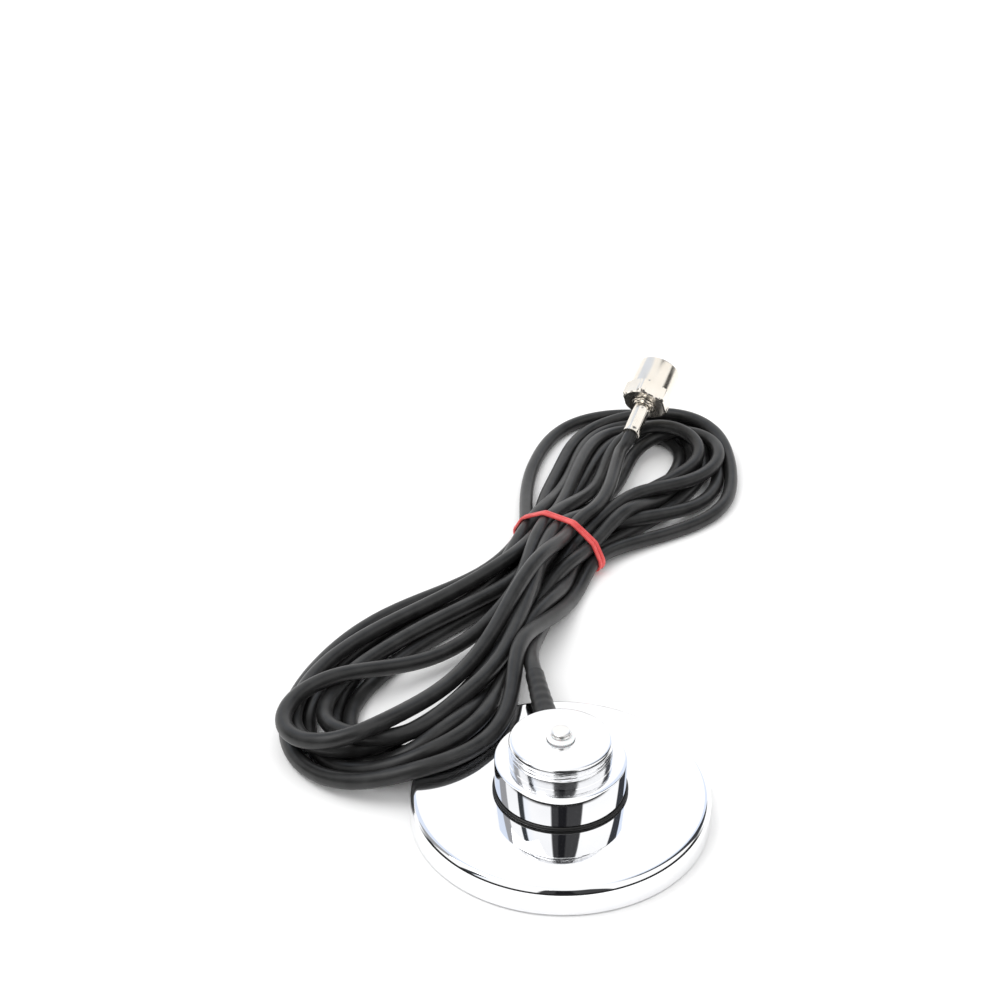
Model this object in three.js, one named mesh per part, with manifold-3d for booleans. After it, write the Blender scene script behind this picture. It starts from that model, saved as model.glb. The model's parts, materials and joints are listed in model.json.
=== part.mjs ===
// Magnetic mount for a whip antenna: chromed magnet base, threaded hub with a centre
// contact, and a coaxial lead tied in a hank, with a threaded plug on its end.
// Millimetres, +Z up, origin at the centre of the base's underside.
// The front of the part faces -Y; the lead leaves the hub towards +Y.
import * as THREE from 'three';
import { mergeVertices } from 'three/addons/utils/BufferGeometryUtils.js';
import Module from 'manifold-3d';

const wasm = await Module();
wasm.setup();

// ---------------------------------------------------------------- driving dimensions
const GAP = 0.3; // clearance between neighbouring pieces
const ROUND = 60; // segments of the large turned pieces
const SMALL_ROUND = 24; // segments of the small turned pieces
const EDGE_STEPS = 5; // straight steps round a rounded edge
const OVERCUT = 1; // how far a cutting tool runs past the face it opens

const BASE_RADIUS = 41.3; // 3 1/4 inch magnet base
const BASE_TOP = 8.3;
const SHELL_WALL = 1.2;
const SHELL_FOOT = 0.4; // the shell's rim stands this far above the foot pad's face
const SHELL_EDGE = 2.2; // radius of the rounded top edge
const PAD_THICKNESS = 0.9;
const MAGNET_INNER = 17;
const MAGNET_OUTER = 33.1;
const SCREW_TURNS = [30, 150, 270]; // degrees round the hub
const SCREW_CIRCLE = 13.2;
const SCREW_RADIUS = 1.45;
const SCREW_HEAD_RADIUS = 2.8;
const SCREW_HEAD_HEIGHT = 2;
const SCREW_CHAMFER = 0.4;
const SCREW_TIP = 14.6;
const SCREW_SLOT_WIDTH = 0.7;
const SCREW_SLOT_DEPTH = 0.8;

const HUB_RADIUS = 18;
const HUB_LEDGE = 18.6; // height of the flat ledge round the boss
const BOSS_RADIUS = 14.1; // 1 1/8 inch thread
const BOSS_FOOT_RADIUS = 14.15; // plain stretch under the thread, just wider than it
const BOSS_TOP = 25;
const BOSS_CHAMFER = 1;
const THREAD_PITCH = 1.1;
const THREAD_RIDGES = 2;
const THREAD_ROOT = 13.6;
const HUB_CAVITY = 9.5;
const HUB_CAVITY_TOP = 20;
const HUB_CHAMFER = 0.35;
const THREAD_LIP = 0.9; // height of the plain rim above the thread
const THREAD_FLANK = 0.3;
const THREAD_TIP_CUT = 0.1; // the ridges stop this far inside the rim
const RING_RADIUS = 0.85; // section of the rubber ring at the hub's foot
const RING_OUTER = 19;
const RING_LIFT = 0.05;

const COLLAR_FOOT = 3.85;
const COLLAR_TOP_RADIUS = 2.9;
const COLLAR_TOP = 26.1;
const COLLAR_STEM = 3.6;
const COLLAR_DEPTH = 1.5; // the collar's stem reaches this far into the hub's cavity
const COLLAR_RIM = 0.3;
const CONTACT_RADIUS = 2.75;
const CONTACT_TOP = 27.7;
const CONTACT_EDGE = 0.7;
const CONTACT_STEM = 1.1;
const CONTACT_FOOT = 12.5;
const CONTACT_NUT_RADIUS = 2.6;
const CONTACT_NUT_HEIGHT = 1.6;

const CABLE_RADIUS = 2.475; // RG-58 class coaxial cable
const CORD_SIDES = 10;
const DIELECTRIC_RADIUS = 1.475;
const CORE_RADIUS = 0.45;
const EXIT_HEIGHT = 13.8; // height of the lead where it leaves the hub
const EXIT_TURN = 7.4; // degrees the lead leaves to the left of straight back
const BOOT_END = 45.8; // distance of the boot's tip from the hub's axis
const BOOT_START = 14.6; // distances from the hub's axis along the lead
const BOOT_SHOULDER = 22;
const BOOT_ROOT_RADIUS = 3.45;
const BOOT_TIP_RADIUS = 2.85;
const CORE_END = 4.2;
const DIELECTRIC_END = 9.4;
const JACKET_START = 9.7;
const CLAMP_RADIUS = 2.9;
const CLAMP_START = 6.2;
const CLAMP_END = 8.9;

// the hank lies on the floor behind and to the left of the base, tied at its waist
const WAIST = new THREE.Vector2(4, 137);
const WAIST_TURN = 54; // degrees from +X to the bundle's direction at the band
const WAIST_HALF_WIDTH = 18.4;
const WAIST_LOW = 1.9;
const WAIST_HIGH = 16.2;
const FRONT_LOOPS = { turn: 243, reach: 147, tip: 42, fullness: 1.35, height: 19 };
const BACK_LOOPS = { turn: 63, reach: 121, tip: 44, fullness: 1.1, height: 10.4 };
const BAND_WIDTH = 2.4;
const BAND_THICKNESS = 1.2;
const BAND_CORNER = 4; // radius of the bundle's corners under the band
const BAND_ARC_STEPS = 6;
const LOOP_STEPS = 36;

const PLUG_TURN = 27; // degrees the plug points to the right of straight back
const PLUG_RISE = 30; // degrees it points upwards, resting on the hank
const PLUG_MOUTH = new THREE.Vector3(34.5, 201.2, 15.9); // centre of the ferrule's mouth
const FERRULE_CORNER_RADIUS = 3.355; // the crimped ferrule is a hexagon outside
const FERRULE_LENGTH = 12.5;
const NUT_START = 14.2; // along the plug's axis from the ferrule's mouth
const NUT_HEX_LENGTH = 6.2;
const NUT_LENGTH = 17.5;
const NUT_ACROSS_FLATS = 16.6;
const NUT_RADIUS = 8.15;
const NUT_BORE = 6.65;
const NUT_NECK_BORE = 4.9;
const NUT_REAR_WALL = 2.2;
const NUT_CHAMFER = 0.5;
const NUT_ROUND = 36;
const COLLET_RADIUS = 3.9; // shoulder of the body behind the nut
const COLLET_LENGTH = 0.9;
const GROOVE_DEPTH = 0.7; // groove of the retaining ring in the body's neck
const GROOVE_LENGTH = 1.4;
const FLANGE_LENGTH = 2; // flange that the gasket seats on
const FLANGE_CLEARANCE = 0.6;
const GASKET_END = 5;
const SLEEVE_RADIUS = 4.1;
const SLEEVE_BORE = 3.35;
const SLEEVE_SETBACK = 2.4; // the sleeve's end behind the nut's nose
const SLEEVE_FLOOR = 3;
const INSULATOR_SETBACK = 6;
const PLUG_PIN_RADIUS = 0.7;
const PLUG_PIN_START = 2;
const PLUG_PIN_SETBACK = 2.8;
const PLUG_PIN_TAPER = 0.8;
const PLUG_PIN_TIP = 0.3;

// route of the lead from the boot's tip to the hank, not coiled
const LEAD_ROUTE = [
  [-5.94, 45.72, 13.8],
  [-6.5, 50.5, 13.5],
  [-6.8, 56, 12.3],
  [-6.7, 61.5, 10.7],
  [-6.2, 67, 9],
  [-5.4, 72.5, 7.3],
  [-4.3, 78.3, 5.8],
  [-3.1, 84, 4.6],
  [-1.7, 89.5, 3.9],
  [-0.1, 95, 3.6],
];

// route of the tail from the band to the plug, over the back loops, not coiled
const TAIL_ROUTE = [
  [10.7, 137.5, 13.9],
  [13.6, 141.5, 13.7],
  [16.8, 146.3, 13.4],
  [19.5, 151.5, 13.2],
  [21.7, 157, 13.1],
  [23.6, 163, 13.1],
  [25.1, 169.3, 13.1],
  [26.4, 175.6, 13.1],
  [27.7, 182, 13.1],
  [29.9, 192, 13.1],
  [32.2, 196.6, 13.8],
  [34.36, 200.93, 15.73],
];

const CHROME = { color: 0xe6e8ec, roughness: 0.08, metalness: 1 };
const STEEL = { color: 0xb9bcc0, roughness: 0.35, metalness: 1 };
const NICKEL = { color: 0xd9d0bd, roughness: 0.22, metalness: 1 };
const FERRITE = { color: 0x2c2c2e, roughness: 0.7, metalness: 0 };
const BLACK_RUBBER = { color: 0x141414, roughness: 0.6, metalness: 0 };
const BLACK_JACKET = { color: 0x1b1b1c, roughness: 0.5, metalness: 0 };
const GREY_PLASTIC = { color: 0x3a3b3d, roughness: 0.6, metalness: 0 };
const WHITE_PLASTIC = { color: 0xf0eee8, roughness: 0.4, metalness: 0 };
const BRASS = { color: 0xc9a85c, roughness: 0.3, metalness: 1 };
const COPPER = { color: 0xb8703f, roughness: 0.35, metalness: 1 };
const RED_RUBBER = { color: 0xd2413f, roughness: 0.45, metalness: 0 };
const GREY_RUBBER = { color: 0x77736c, roughness: 0.6, metalness: 0 };

// ---------------------------------------------------------------- solids and joins
function toSolid(geometry) {
  const bare = geometry.clone();
  bare.deleteAttribute('normal');
  bare.deleteAttribute('uv');
  const welded = mergeVertices(bare, 1e-4);
  return new wasm.Manifold(new wasm.Mesh({
    numProp: 3,
    vertProperties: new Float32Array(welded.attributes.position.array),
    triVerts: new Uint32Array(welded.index.array),
  }));
}

function toGeometry(solid) {
  const mesh = solid.getMesh();
  const geometry = new THREE.BufferGeometry();
  geometry.setAttribute('position', new THREE.BufferAttribute(mesh.vertProperties, 3));
  geometry.setIndex(new THREE.BufferAttribute(mesh.triVerts, 1));
  geometry.computeVertexNormals();
  return geometry;
}

function cut(geometry, ...tools) {
  return toGeometry(tools.reduce((rest, tool) => rest.subtract(toSolid(tool)), toSolid(geometry)));
}

function join(first, ...others) {
  return toGeometry(others.reduce((sum, other) => sum.add(toSolid(other)), toSolid(first)));
}

// a turned piece about +Z, from [radius, height] pairs going up the outside
function turned(profile, segments = SMALL_ROUND) {
  const points = profile.map(([radius, height]) => new THREE.Vector2(radius, height));
  return new THREE.LatheGeometry(points, segments).rotateX(Math.PI / 2);
}

function ring(inner, outer, low, high, segments) {
  return turned([[inner, low], [outer, low], [outer, high], [inner, high], [inner, low]], segments);
}

function rod(radius, low, high, segments) {
  return turned([[0, low], [radius, low], [radius, high], [0, high]], segments);
}

// quarter-circle points of a turned edge, from the outside up and inwards
function roundedEdge(radius, top, edge) {
  return Array.from({ length: EDGE_STEPS + 1 }, (_, i) => {
    const angle = (i / EDGE_STEPS) * Math.PI / 2;
    return [radius - edge + edge * Math.cos(angle), top - edge + edge * Math.sin(angle)];
  });
}

function tube(route, radius, sides) {
  const section = new THREE.Shape();
  section.absarc(0, 0, radius, 0, 2 * Math.PI);
  const path = new THREE.CatmullRomCurve3(route.map((point) => new THREE.Vector3(...point)));
  return new THREE.ExtrudeGeometry(section, {
    extrudePath: path, steps: route.length - 1, curveSegments: sides, bevelEnabled: false,
  });
}

const object = new THREE.Group();

function place(name, geometry, finish, parent = object) {
  const mesh = new THREE.Mesh(geometry, new THREE.MeshStandardMaterial(finish));
  mesh.name = name;
  parent.add(mesh);
  return mesh;
}

// ---------------------------------------------------------------- magnet base
const shellCeiling = BASE_TOP - SHELL_WALL;
const shellInner = BASE_RADIUS - SHELL_WALL;
const magnetLow = PAD_THICKNESS + GAP;
const magnetHigh = shellCeiling - GAP;

function screwSpots() {
  return SCREW_TURNS.map((degrees) => {
    const angle = THREE.MathUtils.degToRad(degrees);
    return [SCREW_CIRCLE * Math.cos(angle), SCREW_CIRCLE * Math.sin(angle)];
  });
}

function buildShell() {
  const cup = turned([
    [0, shellCeiling],
    [shellInner, shellCeiling],
    [shellInner, SHELL_FOOT],
    [BASE_RADIUS, SHELL_FOOT],
    ...roundedEdge(BASE_RADIUS, BASE_TOP, SHELL_EDGE),
    [0, BASE_TOP],
  ], ROUND);
  const holes = screwSpots().map(([x, y]) => (
    rod(SCREW_RADIUS + GAP, shellCeiling - OVERCUT, BASE_TOP + OVERCUT).translate(x, y, 0)
  ));
  return cut(cup, ...holes);
}

place('base_shell', buildShell(), CHROME);
place('base_foot_pad', rod(shellInner - GAP, 0, PAD_THICKNESS, ROUND), BLACK_RUBBER);
place('magnet_ring', ring(MAGNET_INNER, MAGNET_OUTER, magnetLow, magnetHigh, ROUND), FERRITE);
place('magnet_potting',
  ring(MAGNET_OUTER + GAP, shellInner - GAP, magnetLow, magnetHigh, ROUND), GREY_PLASTIC);

// ---------------------------------------------------------------- hub
const hubFoot = BASE_TOP + GAP;
const ringCentre = RING_OUTER - RING_RADIUS;
const ringSeat = ringCentre - RING_RADIUS - GAP;
const ringHeight = BASE_TOP + RING_LIFT + RING_RADIUS;
const ringGrooveTop = ringHeight + RING_RADIUS + GAP;
const boreRadius = CABLE_RADIUS + 2 * GAP;
const screwTop = shellCeiling - GAP;

// frame of the lead's exit: +X of the group points out of the hub along the lead
const exitGroup = new THREE.Group();
exitGroup.position.set(0, 0, EXIT_HEIGHT);
exitGroup.rotation.z = THREE.MathUtils.degToRad(90 + EXIT_TURN);
object.add(exitGroup);
exitGroup.updateMatrixWorld(true);

// a turned piece lying along the exit's +X
function alongExit(profile) {
  return turned(profile).rotateY(Math.PI / 2);
}

// outside of the threaded boss, from the ledge up to the chamfered rim
function bossProfile() {
  const points = [];
  const lip = BOSS_TOP - THREAD_LIP;
  const tip = BOSS_RADIUS - THREAD_TIP_CUT;
  const start = lip - THREAD_RIDGES * THREAD_PITCH;
  points.push([BOSS_FOOT_RADIUS, HUB_LEDGE], [BOSS_FOOT_RADIUS, start - THREAD_FLANK]);
  for (let low = start; low < lip - THREAD_FLANK; low += THREAD_PITCH) {
    points.push([THREAD_ROOT, low], [tip, low + THREAD_FLANK]);
    points.push([tip, low + THREAD_PITCH - THREAD_FLANK]);
  }
  points.push([THREAD_ROOT, lip], [BOSS_RADIUS, lip + THREAD_FLANK / 2]);
  points.push([BOSS_RADIUS, BOSS_TOP - BOSS_CHAMFER + THREAD_FLANK]);
  points.push([BOSS_RADIUS - BOSS_CHAMFER, BOSS_TOP]);
  return points;
}

function buildHub() {
  const collarBore = COLLAR_STEM + GAP;
  const body = turned([
    [HUB_CAVITY, hubFoot],
    [ringSeat, hubFoot],
    [ringSeat, ringGrooveTop],
    [HUB_RADIUS, ringGrooveTop + HUB_CHAMFER],
    [HUB_RADIUS, HUB_LEDGE - HUB_CHAMFER],
    [HUB_RADIUS - HUB_CHAMFER, HUB_LEDGE],
    ...bossProfile(),
    [collarBore, BOSS_TOP],
    [collarBore, HUB_CAVITY_TOP],
    [HUB_CAVITY, HUB_CAVITY_TOP],
    [HUB_CAVITY, hubFoot],
  ], ROUND);
  const cableBore = alongExit([
    [0, HUB_CAVITY / 2], [boreRadius, HUB_CAVITY / 2], [boreRadius, BOOT_START - 2 * GAP],
    [BOOT_ROOT_RADIUS + GAP, BOOT_START - 2 * GAP], [BOOT_ROOT_RADIUS + GAP, HUB_RADIUS + OVERCUT],
    [0, HUB_RADIUS + OVERCUT],
  ]).applyMatrix4(exitGroup.matrixWorld);
  const screwHoles = screwSpots().map(([x, y]) => (
    rod(SCREW_RADIUS + GAP, hubFoot - OVERCUT, SCREW_TIP + GAP).translate(x, y, 0)
  ));
  return cut(body, cableBore, ...screwHoles);
}

function buildScrew() {
  const headLow = screwTop - SCREW_HEAD_HEIGHT;
  const screw = turned([
    [0, headLow], [SCREW_HEAD_RADIUS - SCREW_CHAMFER, headLow],
    [SCREW_HEAD_RADIUS, headLow + SCREW_CHAMFER], [SCREW_HEAD_RADIUS, screwTop],
    [SCREW_RADIUS, screwTop], [SCREW_RADIUS, SCREW_TIP], [0, SCREW_TIP],
  ]);
  const slot = new THREE.BoxGeometry(
    2 * (SCREW_HEAD_RADIUS - SCREW_CHAMFER), SCREW_SLOT_WIDTH, 2 * SCREW_SLOT_DEPTH,
  );
  return cut(screw, slot.translate(0, 0, headLow));
}

place('hub_body', buildHub(), CHROME);
screwSpots().forEach(([x, y], i) => {
  place(`hub_screw_${i + 1}`, buildScrew(), STEEL).position.set(x, y, 0);
});
place('hub_o_ring',
  new THREE.TorusGeometry(ringCentre, RING_RADIUS, 8, ROUND).translate(0, 0, ringHeight),
  BLACK_RUBBER);

// ---------------------------------------------------------------- centre contact
const collarLow = HUB_CAVITY_TOP - COLLAR_DEPTH;

place('insulator_collar', turned([
  [CONTACT_STEM + GAP, collarLow],
  [COLLAR_STEM, collarLow],
  [COLLAR_STEM, BOSS_TOP + GAP],
  [COLLAR_FOOT, BOSS_TOP + GAP],
  [COLLAR_FOOT, BOSS_TOP + GAP + COLLAR_RIM],
  [COLLAR_TOP_RADIUS, COLLAR_TOP],
  [CONTACT_STEM + GAP, COLLAR_TOP],
  [CONTACT_STEM + GAP, collarLow],
]), WHITE_PLASTIC);

place('contact_pin', turned([
  [0, CONTACT_FOOT],
  [CONTACT_STEM, CONTACT_FOOT],
  [CONTACT_STEM, COLLAR_TOP + GAP],
  [CONTACT_RADIUS, COLLAR_TOP + GAP],
  ...roundedEdge(CONTACT_RADIUS, CONTACT_TOP, CONTACT_EDGE),
  [0, CONTACT_TOP],
]), NICKEL);

function buildContactNut() {
  const hex = new THREE.CylinderGeometry(
    CONTACT_NUT_RADIUS, CONTACT_NUT_RADIUS, CONTACT_NUT_HEIGHT, 6,
  ).rotateX(Math.PI / 2);
  const bore = rod(CONTACT_STEM + GAP, CONTACT_FOOT, HUB_CAVITY_TOP);
  return cut(hex.translate(0, 0, collarLow - GAP - CONTACT_NUT_HEIGHT / 2), bore);
}

place('contact_nut', buildContactNut(), BRASS);

// ---------------------------------------------------------------- cable end in the hub
// the boot narrows from its shoulder to its tip in a smooth S
function bootTaper() {
  const steps = 4;
  return Array.from({ length: steps + 1 }, (_, i) => {
    const part = i / steps;
    const narrowed = part * part * (3 - 2 * part);
    return [
      BOOT_ROOT_RADIUS + (BOOT_TIP_RADIUS - BOOT_ROOT_RADIUS) * narrowed,
      BOOT_SHOULDER + (BOOT_END - BOOT_SHOULDER) * part,
    ];
  });
}

place('cable_core', alongExit([
  [0, CONTACT_STEM + GAP],
  [CORE_RADIUS, CONTACT_STEM + GAP],
  [CORE_RADIUS, CORE_END],
  [0, CORE_END],
]), COPPER, exitGroup);
place('cable_dielectric', alongExit([
  [0, CORE_END + GAP],
  [DIELECTRIC_RADIUS, CORE_END + GAP],
  [DIELECTRIC_RADIUS, DIELECTRIC_END],
  [0, DIELECTRIC_END],
]), WHITE_PLASTIC, exitGroup);
place('braid_clamp', alongExit([
  [DIELECTRIC_RADIUS + GAP, CLAMP_START],
  [CLAMP_RADIUS, CLAMP_START],
  [CLAMP_RADIUS, CLAMP_END],
  [DIELECTRIC_RADIUS + GAP, CLAMP_END],
  [DIELECTRIC_RADIUS + GAP, CLAMP_START],
]), NICKEL, exitGroup);
place('cable_jacket_end', alongExit([
  [0, JACKET_START],
  [CABLE_RADIUS, JACKET_START],
  [CABLE_RADIUS, BOOT_END],
  [0, BOOT_END],
]), BLACK_JACKET, exitGroup);
place('strain_relief_boot', alongExit([
  [CABLE_RADIUS + GAP, BOOT_START],
  [BOOT_ROOT_RADIUS, BOOT_START],
  ...bootTaper(),
  [CABLE_RADIUS + GAP, BOOT_END],
  [CABLE_RADIUS + GAP, BOOT_START],
]), BLACK_RUBBER, exitGroup);

// ---------------------------------------------------------------- hank and rubber band
const waistAngle = THREE.MathUtils.degToRad(WAIST_TURN);

// half the outline of one bundle of loops: narrow at the waist, round at its tip
function loopOutline({ turn, reach, tip, fullness }) {
  const axis = THREE.MathUtils.degToRad(turn);
  const across = Math.sqrt(2 * tip * reach);
  return Array.from({ length: LOOP_STEPS + 1 }, (_, i) => {
    const angle = (Math.PI * i) / LOOP_STEPS;
    const rise = Math.sin(angle);
    const along = reach * rise ** 2;
    const waist = WAIST_HALF_WIDTH * Math.cos(angle) * (1 - rise ** 2);
    const side = across * Math.cos(angle) * rise ** (2 * fullness) + waist;
    return new THREE.Vector2(
      WAIST.x + along * Math.cos(axis) + side * Math.sin(axis),
      WAIST.y + along * Math.sin(axis) - side * Math.cos(axis),
    );
  });
}

function extruded(points, height) {
  return new THREE.ExtrudeGeometry(new THREE.Shape(points), {
    depth: height, bevelEnabled: false,
  });
}

// the bundle's waist inside the band
function waistBlock() {
  return new THREE.BoxGeometry(3 * BAND_WIDTH, 2 * WAIST_HALF_WIDTH, WAIST_HIGH - WAIST_LOW)
    .translate(0, 0, (WAIST_LOW + WAIST_HIGH) / 2)
    .rotateZ(waistAngle)
    .translate(WAIST.x, WAIST.y, 0);
}

// a ring round the waist in the plane across the bundle
function bandRing(length, inset, thickness) {
  const section = (grow) => {
    const halfWidth = WAIST_HALF_WIDTH + grow;
    const low = WAIST_LOW - grow;
    const high = WAIST_HIGH + grow;
    const corner = BAND_CORNER + grow;
    const shape = new THREE.Path();
    shape.moveTo(halfWidth, low + corner);
    shape.absarc(halfWidth - corner, high - corner, corner, 0, Math.PI / 2);
    shape.absarc(corner - halfWidth, high - corner, corner, Math.PI / 2, Math.PI);
    shape.absarc(corner - halfWidth, low + corner, corner, Math.PI, 1.5 * Math.PI);
    shape.absarc(halfWidth - corner, low + corner, corner, 1.5 * Math.PI, 2 * Math.PI);
    return shape;
  };
  const outline = new THREE.Shape(section(inset + thickness).getPoints(BAND_ARC_STEPS));
  outline.holes.push(section(inset));
  return new THREE.ExtrudeGeometry(outline, {
    depth: length, bevelEnabled: false, curveSegments: BAND_ARC_STEPS,
  })
    .translate(0, 0, -length / 2)
    .rotateX(Math.PI / 2)
    .rotateZ(waistAngle - Math.PI / 2)
    .translate(WAIST.x, WAIST.y, 0);
}

function buildHank() {
  const loops = [FRONT_LOOPS, BACK_LOOPS].map((side) => (
    extruded(loopOutline(side), side.height)
  ));
  const bootRoom = rod(BOOT_ROOT_RADIUS + 2, 0, BOOT_END + 1.5 * GAP).rotateY(Math.PI / 2);
  return cut(
    join(loops[0], loops[1], waistBlock()),
    bandRing(BAND_WIDTH + 2 * GAP, 0, 2 * FRONT_LOOPS.height),
    rod(BASE_RADIUS + GAP, -OVERCUT, BASE_TOP + GAP, ROUND),
    tube(LEAD_ROUTE, boreRadius, CORD_SIDES + 2),
    bootRoom.applyMatrix4(exitGroup.matrixWorld),
  );
}

place('cord_lead', tube(LEAD_ROUTE, CABLE_RADIUS, CORD_SIDES), BLACK_JACKET);
place('cord_hank', buildHank(), BLACK_JACKET);
place('cord_tail', tube(TAIL_ROUTE, CABLE_RADIUS, CORD_SIDES), BLACK_JACKET);
place('rubber_band', bandRing(BAND_WIDTH, GAP, BAND_THICKNESS), RED_RUBBER);

// ---------------------------------------------------------------- plug
// frame of the plug: +X of the group runs from the ferrule's mouth to the plug's nose
const plugGroup = new THREE.Group();
plugGroup.position.copy(PLUG_MOUTH);
plugGroup.rotation.order = 'ZYX';
plugGroup.rotation.z = THREE.MathUtils.degToRad(90 - PLUG_TURN);
plugGroup.rotation.y = -THREE.MathUtils.degToRad(PLUG_RISE);
object.add(plugGroup);

function alongPlug(profile, segments) {
  return turned(profile, segments).rotateY(Math.PI / 2);
}

const nutEnd = NUT_START + NUT_LENGTH;
const neckRadius = NUT_NECK_BORE - GAP;
const colletStart = FERRULE_LENGTH + GAP;
const grooveStart = NUT_START + NUT_REAR_WALL + GAP;
const flangeStart = grooveStart + GROOVE_LENGTH;
const flangeEnd = flangeStart + FLANGE_LENGTH;
const sleeveFloor = grooveStart + SLEEVE_FLOOR;

function washerAlongPlug(inner, outer, low, high) {
  return ring(inner, outer, low, high).rotateY(Math.PI / 2);
}

function buildCouplingNut() {
  const barrel = alongPlug([
    [0, NUT_START + OVERCUT], [NUT_RADIUS, NUT_START + OVERCUT],
    [NUT_RADIUS, nutEnd - NUT_CHAMFER], [NUT_RADIUS - NUT_CHAMFER, nutEnd], [0, nutEnd],
  ], NUT_ROUND);
  const hex = new THREE.CylinderGeometry(
    NUT_ACROSS_FLATS / Math.sqrt(3), NUT_ACROSS_FLATS / Math.sqrt(3), NUT_HEX_LENGTH, 6,
  ).rotateZ(Math.PI / 2).translate(NUT_START + NUT_HEX_LENGTH / 2, 0, 0);
  const bore = alongPlug([
    [0, NUT_START - OVERCUT], [NUT_NECK_BORE, NUT_START - OVERCUT],
    [NUT_NECK_BORE, NUT_START + NUT_REAR_WALL], [NUT_BORE, NUT_START + NUT_REAR_WALL],
    [NUT_BORE, nutEnd + OVERCUT], [0, nutEnd + OVERCUT],
  ], NUT_ROUND);
  return cut(join(barrel, hex), bore);
}

function buildFerrule() {
  const hex = new THREE.CylinderGeometry(
    FERRULE_CORNER_RADIUS, FERRULE_CORNER_RADIUS, FERRULE_LENGTH, 6,
  ).rotateZ(Math.PI / 2).translate(FERRULE_LENGTH / 2, 0, 0);
  const bore = rod(CABLE_RADIUS, -OVERCUT, FERRULE_LENGTH + OVERCUT).rotateY(Math.PI / 2);
  return cut(hex, bore);
}

place('crimp_ferrule', buildFerrule(), NICKEL, plugGroup);
place('plug_body', alongPlug([
  [DIELECTRIC_RADIUS, GAP],
  [CABLE_RADIUS - GAP, GAP],
  [CABLE_RADIUS - GAP, colletStart],
  [COLLET_RADIUS, colletStart],
  [COLLET_RADIUS, colletStart + COLLET_LENGTH],
  [neckRadius, colletStart + COLLET_LENGTH],
  [neckRadius, grooveStart],
  [neckRadius - GROOVE_DEPTH, grooveStart],
  [neckRadius - GROOVE_DEPTH, flangeStart],
  [NUT_BORE - FLANGE_CLEARANCE, flangeStart],
  [NUT_BORE - FLANGE_CLEARANCE, flangeEnd],
  [SLEEVE_RADIUS, flangeEnd],
  [SLEEVE_RADIUS, nutEnd - SLEEVE_SETBACK],
  [SLEEVE_BORE, nutEnd - SLEEVE_SETBACK],
  [SLEEVE_BORE, sleeveFloor],
  [DIELECTRIC_RADIUS, sleeveFloor],
  [DIELECTRIC_RADIUS, GAP],
]), NICKEL, plugGroup);
place('retaining_ring', washerAlongPlug(
  neckRadius - GROOVE_DEPTH + GAP, NUT_BORE - GAP, grooveStart + GAP, flangeStart - GAP,
), STEEL, plugGroup);
place('nut_gasket', washerAlongPlug(
  SLEEVE_RADIUS + GAP, NUT_BORE - GAP, flangeEnd + GAP, grooveStart + GASKET_END,
), GREY_RUBBER, plugGroup);
place('plug_insulator', washerAlongPlug(
  PLUG_PIN_RADIUS + GAP, SLEEVE_BORE - GAP, sleeveFloor + GAP, nutEnd - INSULATOR_SETBACK,
), WHITE_PLASTIC, plugGroup);
place('plug_pin', alongPlug([
  [0, PLUG_PIN_START],
  [PLUG_PIN_RADIUS, PLUG_PIN_START],
  [PLUG_PIN_RADIUS, nutEnd - PLUG_PIN_SETBACK - PLUG_PIN_TAPER],
  [PLUG_PIN_TIP, nutEnd - PLUG_PIN_SETBACK],
  [0, nutEnd - PLUG_PIN_SETBACK],
]), BRASS, plugGroup);
place('coupling_nut', buildCouplingNut(), NICKEL, plugGroup);

export default object;
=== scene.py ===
"""Looks of the magnetic antenna mount: fine metalwork, the coaxial lead and its hank."""
import json
import math

import bpy
import numpy as np
from mathutils import Matrix, Vector


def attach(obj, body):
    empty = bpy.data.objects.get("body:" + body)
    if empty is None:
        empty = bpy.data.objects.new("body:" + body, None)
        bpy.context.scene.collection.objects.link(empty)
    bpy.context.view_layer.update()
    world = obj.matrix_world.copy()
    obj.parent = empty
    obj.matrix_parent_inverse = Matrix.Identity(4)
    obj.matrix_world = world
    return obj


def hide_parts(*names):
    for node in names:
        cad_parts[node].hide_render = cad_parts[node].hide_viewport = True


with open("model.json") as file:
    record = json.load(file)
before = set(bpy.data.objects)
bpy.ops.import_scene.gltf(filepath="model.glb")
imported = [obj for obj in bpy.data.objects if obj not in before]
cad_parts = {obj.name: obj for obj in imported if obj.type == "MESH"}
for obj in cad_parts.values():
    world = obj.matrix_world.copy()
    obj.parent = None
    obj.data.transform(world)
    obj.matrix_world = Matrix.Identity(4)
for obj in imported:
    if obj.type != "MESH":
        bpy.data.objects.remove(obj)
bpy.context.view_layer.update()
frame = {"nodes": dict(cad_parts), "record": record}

scene = bpy.context.scene
MM = 0.001

# ------------------------------------------------------------------ driving sizes, metres
BASE_RADIUS = 0.0413
BASE_TOP = 0.0083
BASE_EDGE = 0.0022
HUB_RADIUS = 0.018
HUB_LEDGE = 0.0186
CABLE = 0.00495            # diameter of the lead
CABLE_RADIUS = CABLE / 2
EXIT_HEIGHT = 0.0138
EXIT_TURN = math.radians(7.4)
PLUG_MOUTH = Vector((0.0345, 0.2012, 0.0159))
PLUG_TURN = math.radians(27)
PLUG_RISE = math.radians(30)
SMOOTH_ROUND = 192         # segments of the fine turned pieces
SCREW_CIRCLE = 13.2        # millimetres, radius on which the hub's screws stand
SCREW_HOLE = 1.75
SCREW_SPOTS = [
    (SCREW_CIRCLE * math.cos(math.radians(turn)), SCREW_CIRCLE * math.sin(math.radians(turn)))
    for turn in (30, 150, 270)
]


# ------------------------------------------------------------------ camera
CAMERA_PLACE = (-0.015769, -0.346272, 0.288881)
CAMERA_TILT = math.radians(61.18)
CAMERA_ROLL = math.radians(-0.54)


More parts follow.
